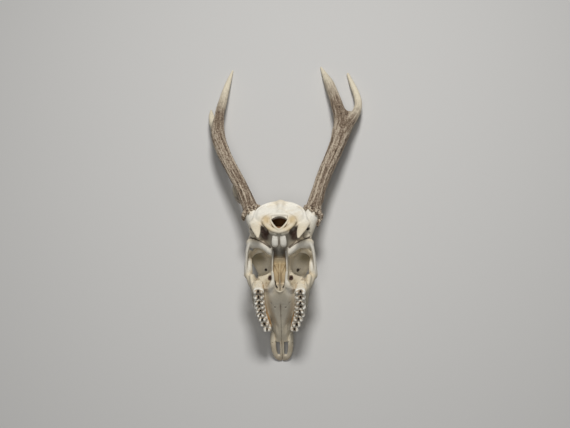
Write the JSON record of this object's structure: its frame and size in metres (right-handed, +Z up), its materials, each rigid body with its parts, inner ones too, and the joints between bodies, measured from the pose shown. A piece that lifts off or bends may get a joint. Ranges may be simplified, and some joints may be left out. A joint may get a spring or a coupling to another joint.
{
  "type": "sika deer skull",
  "caption": "Antlered deer skull without its lower jaw, lying palate up on the nose and the antler tips, a still display model.",
  "frame": {"origin": "middle of the footprint on the floor that the skull rests on", "axes": "+Y from the nose towards the antler tips, +Z up, +X towards the animal's right"},
  "size_m": [0.2749, 0.5385, 0.178],
  "materials": {
    "bone": "dry cream bone, matt with a faint sheen",
    "pale_bone": "pale dry bone, matt with a faint sheen",
    "grey_bone": "grey-beige dry bone of the palate and throat, matt",
    "tooth_bone": "cream upper jaw with an orange gum line and white, dark-pitted cheek teeth, satin",
    "antler": "grey-brown pearled and grooved antler, matt",
    "ivory": "tine worn smooth and ivory at its tip, satin"
  },
  "bodies": {
    "root": {"nasal_left": "bone", "nasal_right": "bone", "frontal": "pale_bone", "occiput": "pale_bone", "braincase": "pale_bone", "cheek_left": "pale_bone", "cheek_right": "pale_bone", "pterygoid": "grey_bone", "premaxilla_left": "bone", "premaxilla_right": "bone", "palate": "grey_bone", "maxilla_left": "tooth_bone", "maxilla_right": "tooth_bone", "antler_left_beam": "antler", "antler_left_upper_beam": "antler", "antler_left_brow_tine": "ivory", "antler_left_fork_tine": "ivory", "antler_right_beam": "antler", "antler_right_upper_beam": "antler", "antler_right_brow_tine": "ivory", "antler_right_fork_tine": "ivory"}
  },
  "joints": []
}
